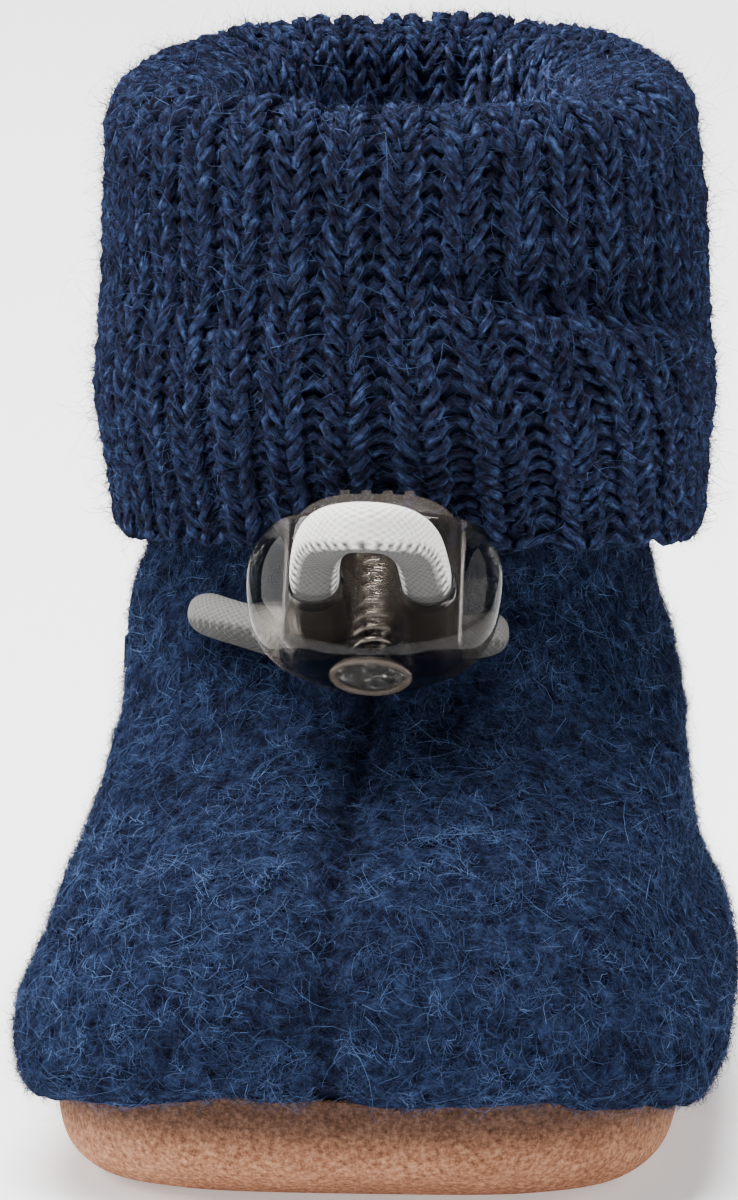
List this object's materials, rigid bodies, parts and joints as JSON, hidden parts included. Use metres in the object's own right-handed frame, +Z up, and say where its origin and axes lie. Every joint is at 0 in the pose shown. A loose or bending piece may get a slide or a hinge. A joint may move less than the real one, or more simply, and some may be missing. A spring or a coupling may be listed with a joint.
{
  "type": "bootie slipper",
  "caption": "Child's ankle bootie slipper in felted wool with a turned-up suede sole, a folded-down rib-knit cuff and an elastic drawcord held by a sprung cord lock.",
  "frame": {"origin": "on the floor, under the middle of the shoe's box without its drawcord", "axes": "toe towards -Y, heel towards +Y, +X the medial side of a right shoe, +Z up"},
  "size_m": [0.0726, 0.1262, 0.1067],
  "materials": {
    "suede": "tan split suede with a short nap",
    "footbed_felt": "dense grey felt",
    "wool_felt": "navy felted wool with loose hairs",
    "rib_knit": "navy wool rib knit",
    "label_cloth": "plain woven tape",
    "elastic_cord": "off-white knitted elastic",
    "smoke_plastic": "smoke-clear moulded plastic",
    "spring_steel": "bright spring wire"
  },
  "bodies": {
    "shoe": {"outsole": "suede", "insole": "footbed_felt", "upper": "wool_felt", "cuff": "rib_knit", "side_label": "label_cloth", "drawcord": "elastic_cord", "lock_barrel": "smoke_plastic", "lock_spring": "spring_steel"},
    "plunger": {"lock_plunger": "smoke_plastic"}
  },
  "joints": [
    {"name": "plunger_press", "type": "slide", "parent": "shoe", "child": "plunger", "axis": [0, -0.5878, -0.809], "range_m": [0, 0.0025], "stiffness_N_per_m": 300, "springref_m": -0.003, "deforming": ["lock_spring"]}
  ]
}
